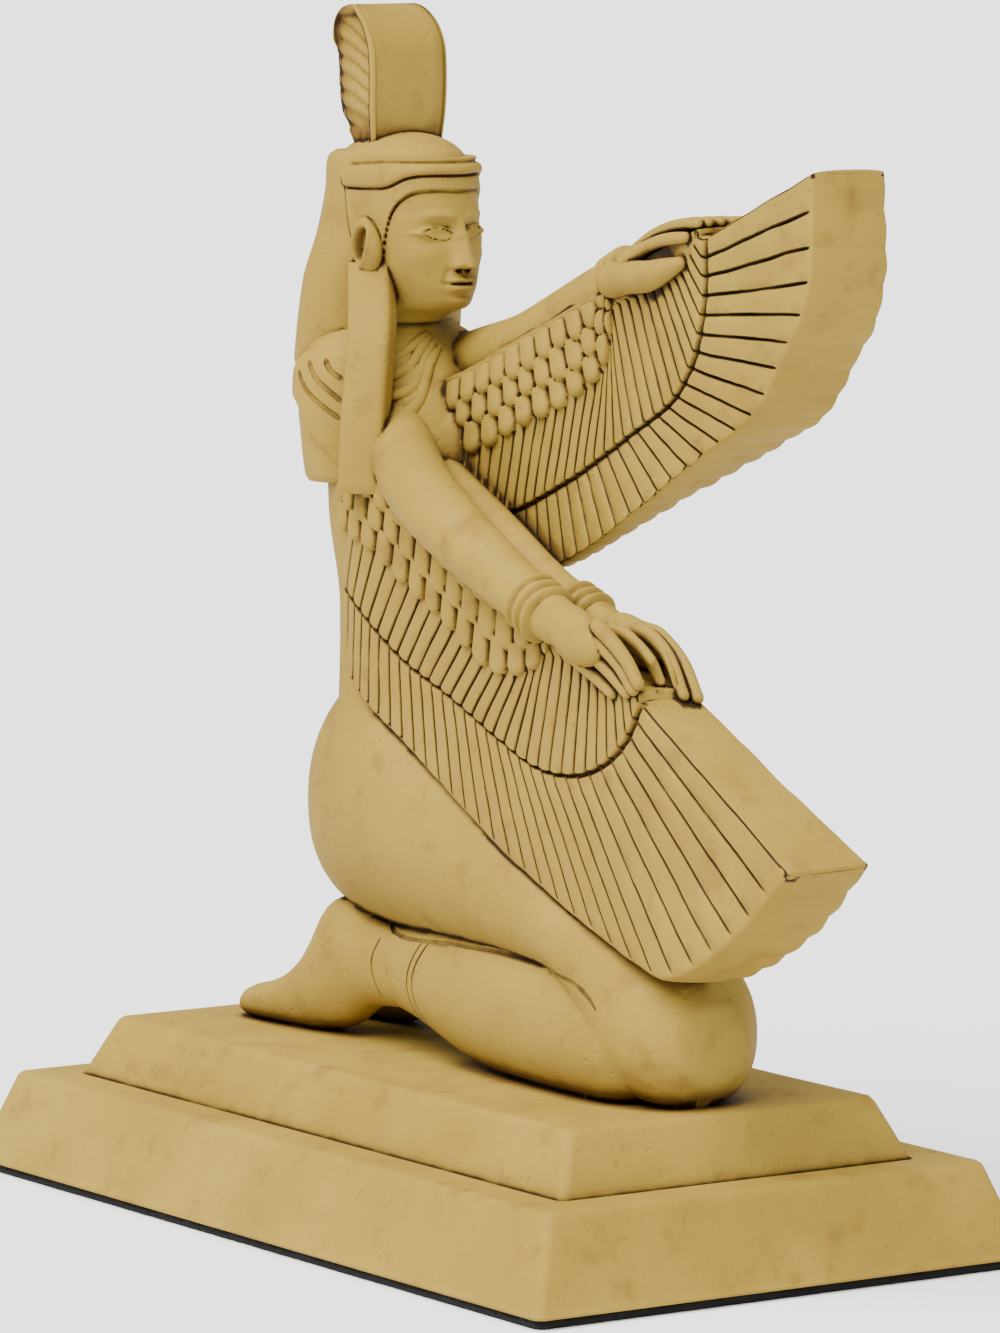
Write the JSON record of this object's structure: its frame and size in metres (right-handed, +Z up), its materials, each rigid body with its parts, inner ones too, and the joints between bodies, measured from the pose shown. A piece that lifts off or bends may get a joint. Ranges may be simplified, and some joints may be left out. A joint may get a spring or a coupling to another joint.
{
  "type": "winged figure",
  "caption": "Kneeling winged figure with a feather headdress on a two-tier plinth: one wing raised, one lowered, cast in ochre stone with dark grooves.",
  "frame": {"origin": "centre of the felt pad's underside, where the figure stands", "axes": "+X the way the figure faces, +Y the figure's left side, +Z up"},
  "size_m": [0.1805, 0.0938, 0.1952],
  "materials": {
    "aged_stone": "matt warm ochre cast stone with dark brown wash in its grooves",
    "plinth_stone": "matt warm ochre cast stone, a little stained, with small pits",
    "black_felt": "black felt"
  },
  "bodies": {
    "root": {"figure": "aged_stone", "plinth": "plinth_stone", "felt_pad": "black_felt"}
  },
  "joints": []
}
